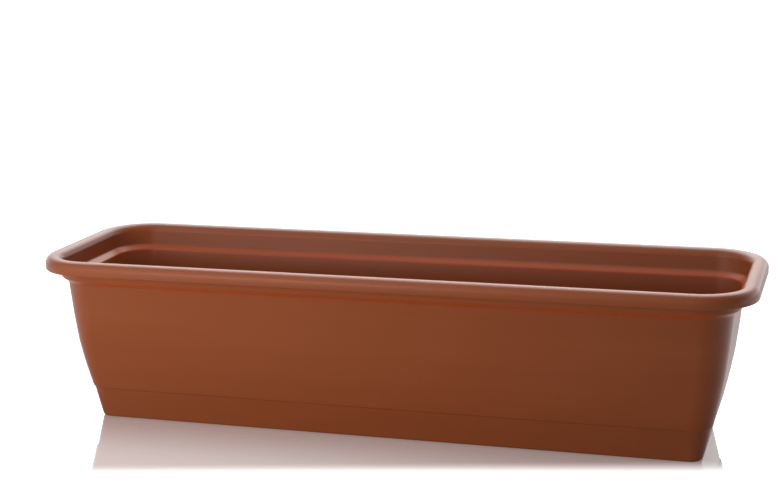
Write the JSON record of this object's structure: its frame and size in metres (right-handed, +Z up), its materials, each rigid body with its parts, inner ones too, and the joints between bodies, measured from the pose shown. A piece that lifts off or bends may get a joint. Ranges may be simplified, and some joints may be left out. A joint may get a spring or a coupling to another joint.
{
  "type": "window box planter",
  "caption": "Long rectangular window box planter with a rolled rim, an inner ledge, leaning faceted walls, a recessed plinth and plugged drain holes.",
  "frame": {"origin": "centre of the footprint, on the ground plane that the foot ring rests on", "axes": "+X along the box's length, +Y across its width, +Z up out of the open top"},
  "size_m": [0.6, 0.184, 0.145],
  "materials": {
    "terracotta_plastic": "satin, fine-grained moulding surface, coloured through",
    "plug_plastic": "soft satin, coloured through"
  },
  "bodies": {
    "trough": {"planter_body": "terracotta_plastic"},
    "drain_plug_1": {"drain_plug_1": "plug_plastic"},
    "drain_plug_2": {"drain_plug_2": "plug_plastic"},
    "drain_plug_3": {"drain_plug_3": "plug_plastic"},
    "drain_plug_4": {"drain_plug_4": "plug_plastic"},
    "drain_plug_5": {"drain_plug_5": "plug_plastic"},
    "drain_plug_6": {"drain_plug_6": "plug_plastic"},
    "drain_plug_7": {"drain_plug_7": "plug_plastic"},
    "drain_plug_8": {"drain_plug_8": "plug_plastic"}
  },
  "joints": [
    {"name": "drain_plug_1_lift", "type": "slide", "parent": "trough", "child": "drain_plug_1", "axis": [0, 0, 1], "range_m": [0, 0.012]},
    {"name": "drain_plug_2_lift", "type": "slide", "parent": "trough", "child": "drain_plug_2", "axis": [0, 0, 1], "range_m": [0, 0.012]},
    {"name": "drain_plug_3_lift", "type": "slide", "parent": "trough", "child": "drain_plug_3", "axis": [0, 0, 1], "range_m": [0, 0.012]},
    {"name": "drain_plug_4_lift", "type": "slide", "parent": "trough", "child": "drain_plug_4", "axis": [0, 0, 1], "range_m": [0, 0.012]},
    {"name": "drain_plug_5_lift", "type": "slide", "parent": "trough", "child": "drain_plug_5", "axis": [0, 0, 1], "range_m": [0, 0.012]},
    {"name": "drain_plug_6_lift", "type": "slide", "parent": "trough", "child": "drain_plug_6", "axis": [0, 0, 1], "range_m": [0, 0.012]},
    {"name": "drain_plug_7_lift", "type": "slide", "parent": "trough", "child": "drain_plug_7", "axis": [0, 0, 1], "range_m": [0, 0.012]},
    {"name": "drain_plug_8_lift", "type": "slide", "parent": "trough", "child": "drain_plug_8", "axis": [0, 0, 1], "range_m": [0, 0.012]}
  ]
}
